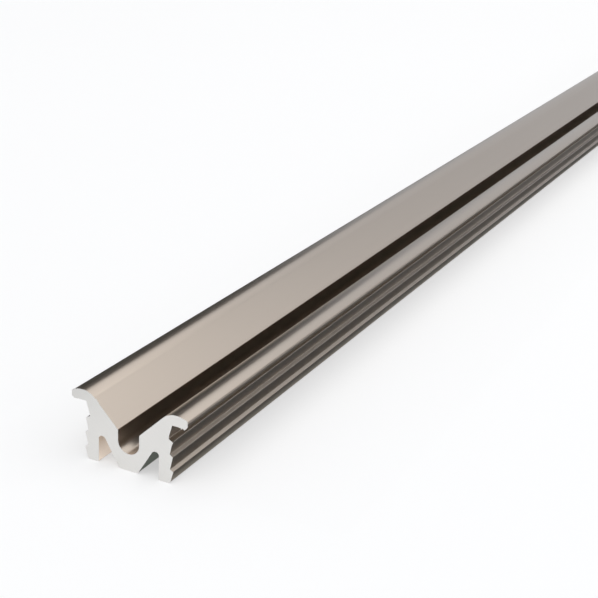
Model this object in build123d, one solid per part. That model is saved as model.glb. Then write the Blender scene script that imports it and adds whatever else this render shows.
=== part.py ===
from build123d import *
import os
from math import cos, radians, sin, tan

# A press-in rail profile, extruded in aluminium. Millimetres.
# The bar lies along X and stands on its two feet and its keel, with +Z up.
# The origin is under the middle of the bar, on the surface that it stands on.
# Every size across the bar is that of the right-hand half, from the middle plane out,
# unless its comment says that it goes over the whole bar.

# Length of one bar, as it is sold
bar_length = 1000.0

# Flanges, which lie on the board at each side of its slot
flange_width = 22.0  # over both flanges
flange_thickness = 1.85  # at the highest line of its crowned top
crown_inset = 2.1  # of that highest line from the outer edge
land_width = 0.2  # flat strip along the highest line
edge_slope_angle = 34.0  # at which the crown's outer end falls towards the edge
edge_slope_width = 0.05  # straight strip between the crown and the edge's radius
edge_top_radius = 0.4
edge_underside_radius = 0.75

# Legs, which are pressed into the slot
leg_height = 10.45  # from the feet to the underside of the flanges
leg_gap = 11.6  # between the inner faces of the two legs
foot_width = 15.8  # over both feet
foot_inner_radius = 0.2
foot_outer_radius = 0.6

# Barbs on the outer face of each leg
slot_width = 16.0  # width of the slot in the board
barb_count = 3
barb_pitch = 2.66
first_barb_height = 2.13  # of the lowest barb's tip above the feet
barb_bite = 0.44  # how far the lowest tip stands past the slot's wall
barb_step = 0.09  # each barb stands this much further in than the one below
barb_depth = 0.58  # from a tip in to the root above it
catch_rise = 0.4  # height of the face that catches, from tip to root
barb_tip_radius = 0.18
barb_root_radius = 0.15

# Neck between the top barb and the flange
neck_relief = 0.26  # how much deeper the neck is cut than the other roots
neck_top_gap = 0.15  # how far the leg stands past the slot's wall under the flange
neck_top_radius = 0.25

# Running groove with a round bottom, and the funnel that leads into it
groove_width = 4.1
groove_floor_thickness = 3.0  # metal under the groove
groove_mouth_radius = 0.25
funnel_angle = 45.0  # of the funnel's sides above the horizontal

# Keel under the groove, and the relief between it and each leg
keel_width = 3.5  # of the flat underside, over the whole keel
keel_radius = 0.35
relief_height = 4.9
relief_top_width = 1.15
relief_radius = 0.55

# Worked out from the sizes above
total_height = leg_height + flange_thickness
edge_y = flange_width / 2
crown_y = edge_y - crown_inset
edge_tilt = radians(edge_slope_angle)
crown_reach = crown_inset - land_width / 2 - edge_top_radius * (1 - sin(edge_tilt))
crown_radius = (crown_reach - edge_slope_width * cos(edge_tilt)) / sin(edge_tilt)
crown_outer_y = crown_y + land_width / 2 + crown_radius * tan(edge_tilt / 2)
crown_inner_y = crown_y - land_width / 2 - crown_radius * tan(radians(funnel_angle) / 2)
edge_top_z = total_height - (edge_y - crown_outer_y) * tan(edge_tilt)
leg_inner_y = leg_gap / 2
slot_wall_y = slot_width / 2
groove_radius = groove_width / 2
groove_centre_z = groove_floor_thickness + groove_radius
groove_mouth_z = total_height - (crown_inner_y - groove_radius) * tan(radians(funnel_angle))


def relief_corners():
    """Corners from the keel's edge, over the relief, to the outside of the foot."""
    return [
        (keel_width / 2, 0, keel_radius),
        (leg_inner_y - relief_top_width, relief_height, relief_radius),
        (leg_inner_y, relief_height, relief_radius),
        (leg_inner_y, 0, foot_inner_radius),
        (foot_width / 2, 0, foot_outer_radius),
    ]


def barb_corners():
    """Corners up the outside of the leg. A barb widens to its tip, and then its catch cuts back in."""
    corners = []
    for row in range(barb_count):
        tip_y = slot_wall_y + barb_bite - row * barb_step
        tip_z = first_barb_height + row * barb_pitch
        is_top = row == barb_count - 1
        root_y = tip_y - barb_depth - (neck_relief if is_top else 0)
        corners.append((tip_y, tip_z, barb_tip_radius))
        corners.append((root_y, tip_z + catch_rise, barb_root_radius))
    return corners


def flange_corners():
    """Corners round the flange, from its root under the board's edge to the mouth of the groove."""
    return [
        (slot_wall_y + neck_top_gap, leg_height, neck_top_radius),
        (edge_y, leg_height, edge_underside_radius),
        (edge_y, edge_top_z, edge_top_radius),
        (crown_outer_y, total_height, crown_radius),
        (crown_inner_y, total_height, crown_radius),
        (groove_radius, groove_mouth_z, groove_mouth_radius),
    ]


def half_section():
    """Right-hand half of the section, closed along the middle plane."""
    corners = relief_corners() + barb_corners() + flange_corners()
    outline = FilletPolyline(
        (0, 0),
        *[(y, z) for y, z, _ in corners],
        (groove_radius, groove_centre_z),
        radius=[radius for _, _, radius in corners],
    )
    groove_bottom = CenterArc((0, groove_centre_z), groove_radius, 0, -90)
    middle = Line((0, groove_floor_thickness), (0, 0))
    return make_face(outline + groove_bottom + middle)


def profile_bar():
    """The whole section, drawn out along X to the bar's length."""
    half = half_section()
    section = half + mirror(half, about=Plane.YZ)
    return extrude(Plane.YZ * section, amount=bar_length / 2, both=True)


os.makedirs("parts", exist_ok=True)
bar = profile_bar()
export_step(bar, "parts/profile_bar.step")
print("section area mm2:", round(bar.volume / bar_length, 2))
print("height and width mm:", bar.bounding_box().size.Z, bar.bounding_box().size.Y)
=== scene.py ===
# %% [markdown]
# # A press-in rail profile of champagne anodised aluminium
#
# The object is one straight bar, extruded through a die and sawn to length. Its section does all
# the work: two flanges lie on a board, a funnel leads down to a round-bottomed groove for a wheel,
# and two barbed legs hold the bar in a slot. The packed CAD model is the fixed frame, and
# everything here is in metres, in the same place as the CAD.
#
# The CAD's mesh has coarse arcs, because its tolerance follows the bar's length. A satin metal
# shows every facet as a line of light, so this script draws the same section again with fine arcs.

from math import ceil, cos, degrees, pi, radians, sin, tan

import bmesh
import bpy
from mathutils import Matrix, Vector, noise


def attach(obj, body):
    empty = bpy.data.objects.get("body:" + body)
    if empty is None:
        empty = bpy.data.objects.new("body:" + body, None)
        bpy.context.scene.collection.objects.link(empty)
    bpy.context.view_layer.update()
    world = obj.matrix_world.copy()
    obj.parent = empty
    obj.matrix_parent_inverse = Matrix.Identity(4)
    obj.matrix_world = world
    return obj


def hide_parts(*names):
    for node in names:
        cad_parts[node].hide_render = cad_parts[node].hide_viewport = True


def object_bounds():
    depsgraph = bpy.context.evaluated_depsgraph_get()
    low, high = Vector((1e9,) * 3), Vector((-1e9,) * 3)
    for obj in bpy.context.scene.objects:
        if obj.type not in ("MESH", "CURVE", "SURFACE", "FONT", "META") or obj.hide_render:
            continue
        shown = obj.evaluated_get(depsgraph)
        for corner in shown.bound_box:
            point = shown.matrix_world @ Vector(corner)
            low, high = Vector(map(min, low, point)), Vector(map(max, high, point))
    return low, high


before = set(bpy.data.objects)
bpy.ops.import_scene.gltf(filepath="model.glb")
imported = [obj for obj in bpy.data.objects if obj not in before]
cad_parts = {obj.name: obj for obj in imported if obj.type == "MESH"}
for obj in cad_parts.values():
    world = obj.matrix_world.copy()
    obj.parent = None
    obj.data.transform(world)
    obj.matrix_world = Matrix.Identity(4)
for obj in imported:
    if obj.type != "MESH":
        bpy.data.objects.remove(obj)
cad_low, cad_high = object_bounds()
print("CAD nodes:", list(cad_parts))
print("CAD box:", tuple(round(v, 5) for v in cad_low), tuple(round(v, 5) for v in cad_high))

# %% [markdown]
# ## Sizes of the section
#
# These are the sizes that the CAD model is driven by, in millimetres. The right-hand half of the
# section is drawn from its corners, and each corner has its own radius, as on the drawing that a
# die is cut from. The corners could be measured off the CAD's mesh instead, but named sizes say
# what each one is for. Drawing one half and mirroring it keeps both halves the same.

# %% Sizes of the bar and its flanges
mm = 0.001
bar_length = 1000.0

flange_width = 22.0
flange_thickness = 1.85
crown_inset = 2.1
land_width = 0.2
edge_slope_angle = 34.0
edge_slope_width = 0.05
edge_top_radius = 0.4
edge_underside_radius = 0.75
print("bar, mm:", bar_length, "long and", flange_width, "over the flanges")

# %% Sizes of the legs and their barbs
leg_height = 10.45
leg_gap = 11.6
foot_width = 15.8
foot_inner_radius = 0.2
foot_outer_radius = 0.6

slot_width = 16.0
barb_count = 3
barb_pitch = 2.66
first_barb_height = 2.13
barb_bite = 0.44
barb_step = 0.09
barb_depth = 0.58
catch_rise = 0.4
barb_tip_radius = 0.18
barb_root_radius = 0.15

neck_relief = 0.26
neck_top_gap = 0.15
neck_top_radius = 0.25
print("legs, mm:", leg_height, "high, with", barb_count, "barbs each")

# %% Sizes of the groove, the keel and the reliefs
groove_width = 4.1
groove_floor_thickness = 3.0
groove_mouth_radius = 0.25
funnel_angle = 45.0

keel_width = 3.5
keel_radius = 0.35
relief_height = 4.9
relief_top_width = 1.15
relief_radius = 0.55
print("groove, mm:", groove_width, "wide, over", groove_floor_thickness, "of metal")

# %% [markdown]
# ## Where the corners lie
#
# The flange's crown is an arc that runs tangent into the funnel on one side and into the slope of
# the edge on the other. Its radius isn't chosen: it follows from the edge, the flat strip along the
# top and the funnel's angle, so the curve stays smooth when a size changes.

# %% Sizes that follow from the others
total_height = leg_height + flange_thickness
edge_y = flange_width / 2
crown_y = edge_y - crown_inset
edge_tilt = radians(edge_slope_angle)
crown_reach = crown_inset - land_width / 2 - edge_top_radius * (1 - sin(edge_tilt))
crown_radius = (crown_reach - edge_slope_width * cos(edge_tilt)) / sin(edge_tilt)
crown_outer_y = crown_y + land_width / 2 + crown_radius * tan(edge_tilt / 2)
crown_inner_y = crown_y - land_width / 2 - crown_radius * tan(radians(funnel_angle) / 2)
edge_top_z = total_height - (edge_y - crown_outer_y) * tan(edge_tilt)
leg_inner_y = leg_gap / 2
slot_wall_y = slot_width / 2
groove_radius = groove_width / 2
groove_mouth_z = total_height - (crown_inner_y - groove_radius) * tan(radians(funnel_angle))
print("crown radius, mm:", round(crown_radius, 3), "groove mouth height:", round(groove_mouth_z, 3))

# %% Corners of the right-hand half, as (across, up, radius)
keel_and_relief = [
    (keel_width / 2, 0, keel_radius),
    (leg_inner_y - relief_top_width, relief_height, relief_radius),
    (leg_inner_y, relief_height, relief_radius),
    (leg_inner_y, 0, foot_inner_radius),
    (foot_width / 2, 0, foot_outer_radius),
]

barbs = []
for row in range(barb_count):
    tip_y = slot_wall_y + barb_bite - row * barb_step
    tip_z = first_barb_height + row * barb_pitch
    deeper = neck_relief if row == barb_count - 1 else 0
    barbs.append((tip_y, tip_z, barb_tip_radius))
    barbs.append((tip_y - barb_depth - deeper, tip_z + catch_rise, barb_root_radius))

flange_and_groove = [
    (slot_wall_y + neck_top_gap, leg_height, neck_top_radius),
    (edge_y, leg_height, edge_underside_radius),
    (edge_y, edge_top_z, edge_top_radius),
    (crown_outer_y, total_height, crown_radius),
    (crown_inner_y, total_height, crown_radius),
    (groove_radius, groove_mouth_z, groove_mouth_radius),
    (groove_radius, groove_floor_thickness, groove_radius),
]
section_corners = keel_and_relief + barbs + flange_and_groove
print("corners in half the section:", len(section_corners))

# %% [markdown]
# ## Rounding a corner
#
# A vertex bevel cuts a corner off and puts an arc in its place. It is told how far along the two
# edges the arc starts, which for a radius r at a corner of angle a is r / tan(a / 2). The number of
# segments follows the arc's length, so a large arc gets more of them than a small one. The points
# of an arc could be worked out with sines instead, but the operator never leaves a gap at its ends.

# %% Round one corner of a flat face
arc_step = 0.05 * mm
arc_turn = radians(3)


def round_corner(mesh, corner, radius):
    """Puts an arc of that radius in place of a corner that has two edges."""
    before, after = (edge.other_vert(corner).co - corner.co for edge in corner.link_edges)
    inside = before.angle(after)
    turn = pi - inside
    segments = max(ceil(turn / arc_turn), ceil(radius * turn / arc_step))
    bmesh.ops.bevel(
        mesh, geom=[corner], offset=radius / tan(inside / 2), offset_type="OFFSET",
        segments=segments, profile=0.5, affect="VERTICES", material=-1, clamp_overlap=False,
    )
    return segments


print("longest step on an arc, mm:", arc_step / mm)

# %% [markdown]
# ## The section
#
# The real section is the shape of the hole in the die. Here a face is drawn round the corners of
# one half, its corners are rounded, and the half is mirrored over the middle plane. It could be
# put together from blocks, but each seam would show in the metal's shine. The two halves are
# welded, and the edges between them dissolved, so that the end is one clean face.

# %% Draw the section at one end of the bar
weld = 0.001 * mm


def draw_section(at_x):
    """A bmesh that holds the whole section as one flat face, and its number of arc segments."""
    mesh = bmesh.new()
    points = [(0, 0)] + [(y, z) for y, z, _ in section_corners] + [(0, groove_floor_thickness)]
    corners = [mesh.verts.new((at_x, y * mm, z * mm)) for y, z in points]
    mesh.faces.new(corners)
    segments = 0
    for corner, (_, _, radius) in zip(corners[1:-1], section_corners):
        segments += round_corner(mesh, corner, radius * mm)
    half = mesh.verts[:] + mesh.edges[:] + mesh.faces[:]
    bmesh.ops.mirror(mesh, geom=half, axis="Y", merge_dist=-1)
    bmesh.ops.remove_doubles(mesh, verts=mesh.verts[:], dist=weld)
    bmesh.ops.recalc_face_normals(mesh, faces=mesh.faces[:])
    middle = [edge for edge in mesh.edges if len(edge.link_faces) == 2]
    bmesh.ops.dissolve_edges(mesh, edges=middle, use_verts=False)
    return mesh, segments


near_x, far_x = -bar_length / 2 * mm, bar_length / 2 * mm
section, arc_segments = draw_section(near_x)
print("section: corners", len(section.verts), "arc segments in one half", arc_segments)
print("section area mm2:", round(sum(f.calc_area() for f in section.faces) / mm**2, 2))

# %% [markdown]
# ## The bar
#
# Extruding is what the press does too. The flats stay flat-shaded and the arcs are smooth-shaded,
# so that a flat reflects like a flat up to its edge. If all of the bar were smooth, each flat would
# look bent near its edges. A face of the arcs is known by its width, which is never much more than
# the arc step. The two sawn faces get the second material, and their rims are sharp.

# %% Extrude the section to the bar's length
def finished(mesh, name):
    """Makes the object of a bmesh, at the origin."""
    data = bpy.data.meshes.new(name)
    mesh.to_mesh(data)
    mesh.free()
    piece = bpy.data.objects.new(name, data)
    bpy.context.scene.collection.objects.link(piece)
    return piece


anodised_slot, sawn_slot = 0, 1
widest_arc_face = 1.2 * arc_step

drawn_out = bmesh.ops.extrude_face_region(section, geom=section.faces[:])
far_end = [v for v in drawn_out["geom"] if isinstance(v, bmesh.types.BMVert)]
bmesh.ops.translate(section, verts=far_end, vec=(far_x - near_x, 0, 0))
bmesh.ops.recalc_face_normals(section, faces=section.faces[:])
for face in section.faces:
    is_sawn = abs(face.normal.x) > 0.5
    width = min(edge.calc_length() for edge in face.edges)
    face.material_index = sawn_slot if is_sawn else anodised_slot
    face.smooth = not is_sawn and width < widest_arc_face
for edge in section.edges:
    edge.smooth = len({face.material_index for face in edge.link_faces}) == 1
sides = sum(face.material_index == anodised_slot for face in section.faces)
print("bar: side faces", sides, "of them smooth", sum(face.smooth for face in section.faces))
bar = finished(section, "extruded_bar")

# %% [markdown]
# ## Burr at the sawn ends
#
# A saw pushes a thin lip of metal over the edges where its teeth leave the work. It is ragged, and
# it catches the light as small flecks. A bump in the material could hint at it, but a bump never
# changes the outline, so the lip is a piece of its own. How far it stands out comes from noise, and
# from a few spots where the blade tore more, which are placed after the photograph.

# %% How far the burr stands out
burr_thickness = 0.06 * mm
burr_root = 0.01 * mm
tear_size = 0.16 * mm
least_burr = 0.05

# Spots where the blade tore more, in mm: across, up, reach along the rim, height
burr_spots = [
    (-10.4, 10.5, 1.1, 0.75),
    (-10.6, 11.6, 0.7, 0.45),
    (-7.55, 7.85, 0.6, 0.6),
    (-8.3, 7.3, 0.4, 0.35),
    (-8.4, 2.1, 0.5, 0.25),
    (10.4, 10.6, 1.0, 0.55),
    (10.5, 11.8, 0.9, 0.35),
    (8.3, 5.0, 0.8, 0.25),
    (6.1, 10.9, 0.55, 0.8),
]


def burr_height(place):
    """How far the lip stands out of the rim at a place, in metres."""
    ragged = 0.5 + 0.5 * noise.noise(Vector((0, place.y, place.z)) / tear_size)
    height = least_burr * ragged
    for y, z, reach, tall in burr_spots:
        away = Vector((0, place.y / mm - y, place.z / mm - z)).length
        height += tall * max(0, 1 - away / reach) * ragged**2
    return height * mm


print("spots where the blade tore more:", len(burr_spots))

# %% [markdown]
# ## The lip's shape
#
# The lip starts from the section's own rim, so it fits the bar at every corner, which a strip laid
# round the rim by hand would not. Its long edges are divided finely first, because an undivided
# edge can't be ragged. The ring of edges is extruded twice, for the ragged edge and for the back,
# and the back is bridged to the front, which closes the lip. Each ring is then moved to its place,
# and nothing may leave the box of the CAD model.

# %% Extrude a ring of edges
def next_ring(lip, ring):
    """Returns the new edges, and the old corner that each new corner is from."""
    grown = bmesh.ops.extrude_edge_only(lip, edges=ring)["geom"]
    fresh = [g for g in grown if isinstance(g, bmesh.types.BMVert)]
    edges = [g for g in grown if isinstance(g, bmesh.types.BMEdge)]
    edges = [edge for edge in edges if all(vert in fresh for vert in edge.verts)]
    old = {vert for edge in ring for vert in edge.verts}
    beside = {vert: [edge.other_vert(vert) for edge in vert.link_edges] for vert in fresh}
    return edges, {vert: next(v for v in others if v in old) for vert, others in beside.items()}


# %% Grow the burr
longest_rim_edge = 0.12 * mm
rim_step = 0.08 * mm
front_inset = 0.002 * mm
edge_share = 0.3  # of the thickness, at which the ragged edge lies


def ways_outwards(flat):
    """The direction that points out of the section at each corner of its rim."""
    outwards = {}
    for loop in flat.loops:
        along = loop.link_loop_next.vert.co - loop.link_loop_prev.vert.co
        outwards[loop.vert] = along.cross(flat.normal).normalized()
    return outwards


def grow_burr(at_x, inwards):
    """A closed ragged lip round the rim at one end. Inwards is 1 where the bar lies towards +X."""
    lip, _ = draw_section(at_x)
    for edge in [edge for edge in lip.edges if edge.calc_length() > longest_rim_edge]:
        cuts = int(edge.calc_length() / rim_step)
        bmesh.ops.subdivide_edges(lip, edges=[edge], cuts=cuts)
    flat = next(iter(lip.faces))
    outwards = ways_outwards(flat)
    bmesh.ops.delete(lip, geom=[flat], context="FACES_ONLY")
    front = lip.edges[:]
    places = {vert: vert.co.copy() for vert in lip.verts}
    edge_ring, edge_from = next_ring(lip, front)
    back_ring, back_from = next_ring(lip, edge_ring)
    bmesh.ops.bridge_loops(lip, edges=front + back_ring)
    to_front = Vector((inwards * front_inset, 0, 0))
    to_back = Vector((inwards * burr_thickness, 0, 0))
    for vert, place in places.items():
        vert.co = place - outwards[vert] * burr_root + to_front
    for vert, base in edge_from.items():
        vert.co = places[base] + outwards[base] * burr_height(places[base])
        vert.co.x += inwards * burr_thickness * edge_share
    for vert, middle in back_from.items():
        base = edge_from[middle]
        vert.co = places[base] - outwards[base] * burr_root + to_back
    for vert in lip.verts:
        vert.co.y = min(max(vert.co.y, cad_low.y), cad_high.y)
        vert.co.z = min(max(vert.co.z, cad_low.z), cad_high.z)
    bmesh.ops.recalc_face_normals(lip, faces=lip.faces[:])
    return lip


near_burr = finished(grow_burr(near_x, 1), "saw_burr_near")
far_burr = finished(grow_burr(far_x, -1), "saw_burr_far")
print("burr faces:", len(near_burr.data.polygons), len(far_burr.data.polygons))

# %% [markdown]
# ## Shader maths as expressions
#
# A material is a chain of nodes. Wire wraps a socket, so that arithmetic in Python adds the Math
# nodes, and Finish makes every other node from its type, its settings and what goes into it. The
# nodes could be made one by one, but then a sum of three noises takes ten lines.

# %% Wire, a socket that can be added and multiplied
class Wire:
    """What comes out of a node. Arithmetic on a Wire that carries a number adds Math nodes."""

    def __init__(self, finish, socket):
        self.finish = finish
        self.socket = socket

    def worked_out(self, operation, other):
        settings = {"operation": operation}
        return self.finish.node("ShaderNodeMath", settings, {0: self, 1: other})

    def __add__(self, other):
        return self.worked_out("ADD", other)

    def __mul__(self, other):
        return self.worked_out("MULTIPLY", other)

    __radd__ = __add__
    __rmul__ = __mul__


# %% Finish, which makes the nodes of one material
class Finish:
    """The nodes of one material, or of the room, and the one way in which they are made."""

    def __init__(self, owner):
        owner.use_nodes = True
        self.owner = owner
        self.tree = owner.node_tree
        self.tree.nodes.clear()

    def node(self, kind, settings=None, inputs=None, out=0):
        """Makes a node, sets it, joins its inputs and returns one output as a Wire."""
        made = self.tree.nodes.new(kind)
        for name, value in (settings or {}).items():
            setattr(made, name, value)
        for name, value in (inputs or {}).items():
            if isinstance(value, Wire):
                self.tree.links.new(value.socket, made.inputs[name])
            else:
                made.inputs[name].default_value = value
        return Wire(self, made.outputs[out]) if made.outputs else None

    def place(self):
        """The point on the piece, in metres, in the shared frame."""
        return self.node("ShaderNodeTexCoord", out="Object")

    def vector_maths(self, operation, first, second=(0, 0, 0), out=0):
        settings = {"operation": operation}
        return self.node("ShaderNodeVectorMath", settings, {0: first, 1: second}, out)

    def stretched(self, along, across):
        """The point scaled along the bar and across it, for a pattern that the die drew out."""
        return self.vector_maths("MULTIPLY", self.place(), (along, across, across))

    def noise(self, vector, scale=1.0, detail=2.0, roughness=0.5):
        values = {"Vector": vector, "Scale": scale, "Detail": detail, "Roughness": roughness}
        return self.node("ShaderNodeTexNoise", {}, values, "Fac")

    def ring_noise(self, away, cells, detail):
        """Noise that changes only with the distance away, with that many cells per metre."""
        rings = self.node("ShaderNodeCombineXYZ", {}, {"X": away * cells})
        return self.noise(rings, detail=detail)

    def blend_colours(self, factor, first, second):
        values = {0: factor, 6: (*first, 1), 7: (*second, 1)}
        return self.node("ShaderNodeMix", {"data_type": "RGBA"}, values, 2)

    def bump(self, depth, height):
        """The normal of a surface that rises and falls by up to depth, in metres."""
        values = {"Strength": 1.0, "Distance": depth, "Height": height}
        return self.node("ShaderNodeBump", {}, values, "Normal")

    def principled(self, values):
        return self.node("ShaderNodeBsdfPrincipled", {}, values, "BSDF")

    def surface(self, shader):
        """Ends the material with its shader."""
        self.node("ShaderNodeOutputMaterial", {}, {"Surface": shader})
        return self.owner


print("a Finish can make:", [name for name in vars(Finish) if not name.startswith("_")])

# %% [markdown]
# ## Champagne anodised aluminium
#
# Anodising leaves a clear, dyed skin on the metal, so it still mirrors like metal, but through a
# champagne tint and a fine etch. The die leaves lines along the bar. They could be a wave texture,
# but that repeats, so they are noise drawn out along X: its cells are hundreds of times longer than
# they are wide. The lines change the gloss more than the colour. The slow drift of the tint is
# what a rack of bars has from the dye bath.

# %% Numbers of the anodised finish
# Noise cells per metre, along the bar and across it
fine_lines = (1.5, 2600)
wide_lines = (0.8, 420)
dye_drift = (14, 45)
etch_grain = (5200, 5200)

champagne_dark = (0.56, 0.478, 0.402)
champagne_light = (0.61, 0.53, 0.455)
least_roughness = 0.23
die_line_depth = 0.0016 * mm
print("die lines, mm apart:", round(1 / fine_lines[1] / mm, 2), "depth:", die_line_depth / mm)


# %% Make the anodised finish
def anodised():
    """A tinted metal with die lines in its gloss and a thin clear coat."""
    finish = Finish(bpy.data.materials.new("champagne_anodised"))
    die_lines = finish.noise(finish.stretched(*fine_lines), detail=3.0, roughness=0.6)
    broad_lines = finish.noise(finish.stretched(*wide_lines), detail=2.0)
    drift = finish.noise(finish.stretched(*dye_drift), detail=2.0)
    etch = finish.noise(finish.stretched(*etch_grain), detail=1.0)
    tint = finish.blend_colours(drift * 0.5 + broad_lines * 0.5, champagne_dark, champagne_light)
    gloss = least_roughness + broad_lines * 0.07 + die_lines * 0.07 + etch * 0.03
    relief = finish.bump(die_line_depth, die_lines * 0.7 + etch * 0.3)
    skin = finish.principled({
        "Base Color": tint, "Metallic": 1.0, "Roughness": gloss, "Normal": relief,
        "Coat Weight": 0.15, "Coat Roughness": 0.2,
    })
    return finish.surface(skin)


champagne = anodised()
print("anodised finish:", len(champagne.node_tree.nodes), "nodes")

# %% [markdown]
# ## Sawn aluminium
#
# The ends are bare metal, cut by a round blade after the bar was anodised. The teeth leave faint
# arcs round the blade's axis. Straight scratches would be easier, but they look filed. So the
# pattern is noise on the distance from the blade's centre, which lies to the right of the bar and
# above it, and a finer smear breaks the arcs up.

# %% Numbers of the sawn finish
blade_centre = (0, -0.085, 0.125)
tooth_marks = 3800  # noise cells per metre from the blade's centre
feed_waves = 620
smear_grain = (900, 900)
sawn_dark = (0.79, 0.776, 0.75)
sawn_light = (0.865, 0.852, 0.824)
saw_mark_depth = 0.01 * mm
print("tooth marks, mm apart:", round(1 / tooth_marks / mm, 2), "depth:", saw_mark_depth / mm)


# %% Make the sawn finish
def sawn():
    """A bare metal with faint arcs from the saw."""
    finish = Finish(bpy.data.materials.new("sawn_aluminium"))
    from_blade = finish.vector_maths("SUBTRACT", finish.place(), blade_centre)
    across_cut = finish.vector_maths("MULTIPLY", from_blade, (0, 1, 1))
    away = finish.vector_maths("LENGTH", across_cut, out="Value")
    teeth = finish.ring_noise(away, tooth_marks, 3.0)
    waves = finish.ring_noise(away, feed_waves, 1.0)
    smear = finish.noise(finish.stretched(*smear_grain), detail=3.0)
    tint = finish.blend_colours(teeth * 0.6 + smear * 0.4, sawn_dark, sawn_light)
    relief = finish.bump(saw_mark_depth, teeth * 0.6 + waves * 0.8 + smear * 0.4)
    cut = finish.principled({
        "Base Color": tint, "Metallic": 1.0, "Roughness": 0.48 + smear * 0.12, "Normal": relief,
    })
    return finish.surface(cut)


bare = sawn()
print("sawn finish:", len(bare.node_tree.nodes), "nodes")

# %% [markdown]
# ## Putting the finishes on
#
# The bar's first material is its anodised skin and its second the sawn ends, in the order of the
# slots above. The burr is bare metal that the saw pushed out, so it has the finish of the cut. The
# bar stands for the CAD's own node, and each piece rides on the one body that there is.

# %% Put the finishes on the bar and the burrs
bar.data.materials.append(champagne)
bar.data.materials.append(bare)
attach(bar, "root")
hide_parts("profile_bar")
for burr in (near_burr, far_burr):
    burr.data.materials.append(bare)
    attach(burr, "root")
print("finishes on the bar:", [material.name for material in bar.data.materials])

# %% [markdown]
# ## Floor
#
# The photograph has a plain white ground. A pale sheet under soft lamps renders as a light grey,
# and stronger lamps would burn out the metal. So Light Path whitens the floor by half for what the
# camera and the reflections see, while its own matt colour still takes the bar's shadow. The floor
# lies a hair under the bar, because two faces in one plane flicker.

# %% Lay the floor
floor_half = 12.0
floor_drop = 0.03 * mm
whitening = 0.5

floor_mesh = bmesh.new()
bmesh.ops.create_grid(floor_mesh, x_segments=1, y_segments=1, size=floor_half)
bmesh.ops.translate(floor_mesh, verts=floor_mesh.verts[:], vec=(0, 0, -floor_drop))
floor = finished(floor_mesh, "floor")
print("floor: side, m:", 2 * floor_half, "below the feet, mm:", floor_drop / mm)


# %% Make the paper of the floor
paper_dark, paper_light = (0.91, 0.91, 0.91), (0.93, 0.93, 0.93)
paper_grain = 6.0


def pale_paper():
    """A matt, nearly white sheet that the camera and the reflections see whiter."""
    paper = Finish(bpy.data.materials.new("pale_floor"))
    grain = paper.noise(paper.place(), scale=paper_grain)
    tint = paper.blend_colours(grain, paper_dark, paper_light)
    matt = paper.principled({"Base Color": tint, "Roughness": 0.9})
    white = paper.node("ShaderNodeEmission", {}, {"Color": (1, 1, 1, 1), "Strength": 1.0})
    camera_ray, glossy_ray, glass_ray = (
        paper.node("ShaderNodeLightPath", out=f"Is {kind} Ray")
        for kind in ("Camera", "Glossy", "Transmission")
    )
    share = (camera_ray + glossy_ray + glass_ray) * whitening
    return paper.surface(paper.node("ShaderNodeMixShader", {}, {0: share, 1: matt, 2: white}))


floor.data.materials.append(pale_paper())
print("floor paper:", floor.data.materials[0].name, "whitened by", whitening)

# %% [markdown]
# ## Room and lamps
#
# Metal shows its surroundings, so the room and the lamps are chosen for where they show. The room
# is an even pale grey, a little cool. The window hangs ahead of the bar and to the right, where the
# funnel's left-hand side looks at it. The overhead lamp is ahead and high up, for the crowns. A
# very soft sun behind the near end lights the sawn face, which is turned away from both lamps. One
# strong lamp would be simpler, but it draws a hard line of light on every arc.

# %% Paint the room
room_colour = (0.94, 0.99, 1.07)
room_level = 0.6

room = bpy.data.worlds.new("room")
bpy.context.scene.world = room
walls = Finish(room)
look = {"Color": (*room_colour, 1), "Strength": room_level}
paint = walls.node("ShaderNodeBackground", {}, look)
walls.node("ShaderNodeOutputWorld", {}, {"Surface": paint})
print("room: colour", room_colour, "at", room_level)

# %% Hang the lamps
near_end = Vector((near_x, 0, 0))
warm = (1.0, 0.965, 0.91)


def towards(azimuth, elevation, distance):
    """A place seen from the near end. Azimuth 0 is along the bar, and the left is positive."""
    turn = Matrix.Rotation(radians(azimuth), 3, "Z") @ Matrix.Rotation(radians(-elevation), 3, "Y")
    return near_end + turn @ Vector((distance, 0, 0))


def hang(data, place):
    """Puts a lamp at a place, facing the near end."""
    lamp = bpy.data.objects.new(data.name, data)
    lamp.location = place
    lamp.rotation_euler = (near_end - place).to_track_quat("-Z", "Y").to_euler()
    bpy.context.scene.collection.objects.link(lamp)
    print("lamp:", data.name, "at", tuple(round(v, 2) for v in place))
    return lamp


def soft_lamp(name, place, size, level):
    """A rectangular lamp that looks as bright as level from the near end."""
    data = bpy.data.lights.new(name, "AREA")
    data.shape = "RECTANGLE"
    data.size, data.size_y = size
    data.energy = level * pi * size[0] * size[1]
    data.color = warm
    hang(data, place).visible_camera = False


def soft_sun(name, place, level, spread):
    """A sun that shines from a place's side, spread over that many degrees of sky."""
    data = bpy.data.lights.new(name, "SUN")
    data.energy = level
    data.angle = radians(spread)
    data.color = warm
    hang(data, place)


soft_lamp("window", towards(-60, 34, 1.3), (1.5, 0.8), 0.61)
soft_lamp("overhead", towards(2, 61, 1.2), (1.1, 1.0), 0.74)
soft_sun("behind", towards(180, 62, 1.0), 1.1, 50)

# %% [markdown]
# ## Hidden cards
#
# The dark lines along the real bar are mirror images of a dark studio, which can't be known. They
# could be painted into the finish, but paint would stay where it is in every view, and real lines
# slide. So plain cards stand where the dark things must have been, and only reflections see them.
# They belong to the stage and aren't part of the object.
#
# A card that lies in the bar's own shadow would look black whatever its colour, so it glows at that
# colour: painted light in place of the light that the bar keeps off it. Only the card over the
# groove casts a shadow, because the lamps would leak in past it.

# %% Make a card
lighter, darker = 1.1, 0.9
weave_scale = 300.0


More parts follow.
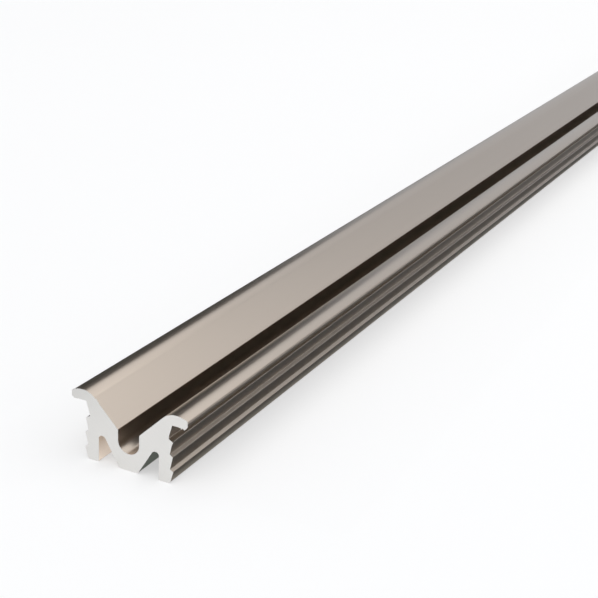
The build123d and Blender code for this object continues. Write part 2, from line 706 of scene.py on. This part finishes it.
def card_cloth_and_glow(name, colour, glow):
    """A matt cloth of one colour with a faint weave. Glow makes it shine at that colour, as painted
    light.
    """
    cloth = Finish(bpy.data.materials.new(name + "_cloth"))
    weave = cloth.noise(cloth.place(), scale=weave_scale)
    light, dark = [c * lighter for c in colour], [c * darker for c in colour]
    shade = cloth.blend_colours(weave, light, dark)
    return cloth.surface(cloth.principled({
        "Base Color": shade, "Roughness": 0.9, "Emission Color": shade, "Emission Strength": glow,
    }))


def hidden_card(name, length, width, place, colour, roll=0, glow=0, shades=False):
    """A card along the bar that only reflections see. Roll turns it round the bar's direction."""
    sheet = bmesh.new()
    bmesh.ops.create_grid(sheet, x_segments=1, y_segments=1, size=0.5)  # one metre square
    bmesh.ops.scale(sheet, verts=sheet.verts[:], vec=(length, width, 1))
    turn = Matrix.Rotation(radians(roll), 3, "X")
    bmesh.ops.rotate(sheet, verts=sheet.verts[:], matrix=turn)
    bmesh.ops.translate(sheet, verts=sheet.verts[:], vec=place)
    card = finished(sheet, name)
    card.data.materials.append(card_cloth_and_glow(name, colour, glow))
    card.visible_camera = False
    card.visible_diffuse = False
    card.visible_shadow = shades
    print("card:", name, round(length, 3), "by", round(width, 4), "m")


# %% [markdown]
# ## The two standing cards
#
# Each stands beside the bar and fills a span of elevations, as seen from it. The left-hand one
# leans over the bar. The flat strips on top, and what faces left, mirror it and turn dark. The
# right-hand one is low, and darkens the pocket under the right-hand flange.

# %% Stand a card at each side
card_away = 0.35
black = (0.03, 0.03, 0.03)

left_from, left_to = -0.55, 0.16
left_low, left_high = 0, 66
left_lean = (left_low + left_high) / 2
left_tall = 2 * card_away * tan(radians((left_high - left_low) / 2))
left_place = Vector((
    (left_from + left_to) / 2,
    card_away * cos(radians(left_lean)),
    card_away * sin(radians(left_lean)),
))
hidden_card("left_card", left_to - left_from, left_tall, left_place, black, roll=90 + left_lean)

right_from, right_to = -0.35, 0.32
right_angles = (2, 30)
right_low, right_high = (card_away * tan(radians(angle)) for angle in right_angles)
right_tall = right_high - right_low
right_place = Vector(((right_from + right_to) / 2, -card_away, (right_low + right_high) / 2))
hidden_card("right_card", right_to - right_from, right_tall, right_place, black, roll=90)

# %% [markdown]
# ## The lying cards
#
# These lie level, most of them on the floor, where the bar's undersides look. One table lists them,
# so that a loop can lay them.
#
# - The card to the left of the bar is the dark ground beyond it.
# - The foot strip and the foot card lie along the right-hand foot, pale close to the bar and dark
#   beyond, which the legs and the barbs mirror. The dark foot card is partly dark ground and partly
#   painted shade, for the ground that the flange shades.
# - The catch card hangs just outside the right-hand flange, for the catches of the barbs.
# - The two relief cards lie under the bar, between the keel and the legs. They glow, as painted
#   light
#   where the bar shades them: pale on the left and dark green-grey on the right.
# - The groove card lies in the mouth of the groove, and gives the groove its dark inside.

# %% Lay the flat cards
whole_bar = (-bar_length / 2, bar_length / 2)
on_floor = 0.05

# Name: (from and to along the bar, from and to across it, height, colour, options), in mm
flat_cards = {
    "left_floor_card": ((-550, 160), (30, 350), on_floor, black, {}),
    "foot_strip": (whole_bar, (-8.6, -7.5), on_floor, (0.5, 0.51, 0.49), {}),
    # The foot card's dark is partly painted shade, for the ground that the flange shades.
    "foot_card": (whole_bar, (-38.6, -8.6), on_floor, (0.09, 0.095, 0.1), {}),
    "catch_card": (whole_bar, (-11.9, -10.9), 10.3, (0.1, 0.1, 0.1), {}),
    # The two relief cards glow: painted light where the bar shades the ground.
    "relief_card": (whole_bar, (-6.2, -1.8), on_floor, (0.115, 0.14, 0.135), {"glow": 1}),
    "left_relief_card": (whole_bar, (2.05, 5.75), on_floor, (0.85, 0.85, 0.85), {"glow": 1}),
    "groove_card": ((-493.5, 493.5), (-1.96, 1.5), 6.95, black, {"shades": True}),
}
for name, (along, across, height, colour, options) in flat_cards.items():
    middle = Vector((sum(along) / 2, sum(across) / 2, height)) * mm
    length, width = ((span[1] - span[0]) * mm for span in (along, across))
    hidden_card(name, length, width, middle, colour, **options)

# %% [markdown]
# ## Camera
#
# The bar's long edges meet at one point of the photograph, which gives its direction and the
# focal length. The corners of the sawn end then give the camera's place and its slight roll. The
# camera could be aimed at the bar by hand, but then the edges would never quite lie on the photo's.

# %% Set the camera
right = Vector((0.45412, -0.88964, 0.04821))
up = Vector((0.30510, 0.20612, 0.92975))
back = right.cross(up)
camera_place = Vector((-0.6575, -0.1058, 0.1051))

camera_data = bpy.data.cameras.new("camera")
camera_data.sensor_width = 36.0
camera_data.lens = 79.16
camera_data.clip_start = 0.01
camera = bpy.data.objects.new("camera", camera_data)
turned = Matrix((right, up, back)).transposed().to_4x4()
camera.matrix_world = Matrix.Translation(camera_place) @ turned
bpy.context.scene.collection.objects.link(camera)
bpy.context.scene.camera = camera
bpy.context.scene.view_settings.view_transform = "Standard"
print("camera: from the sawn end, m:", round((camera_place - near_end).length, 4))
print("camera: field of view, degrees:", round(degrees(camera_data.angle), 2))

# %% [markdown]
# ## Both boxes
#
# The fine section has to fill the same box as the CAD model that it stands for, or a motion or a
# fit of the model wouldn't hold for the bar that is seen.
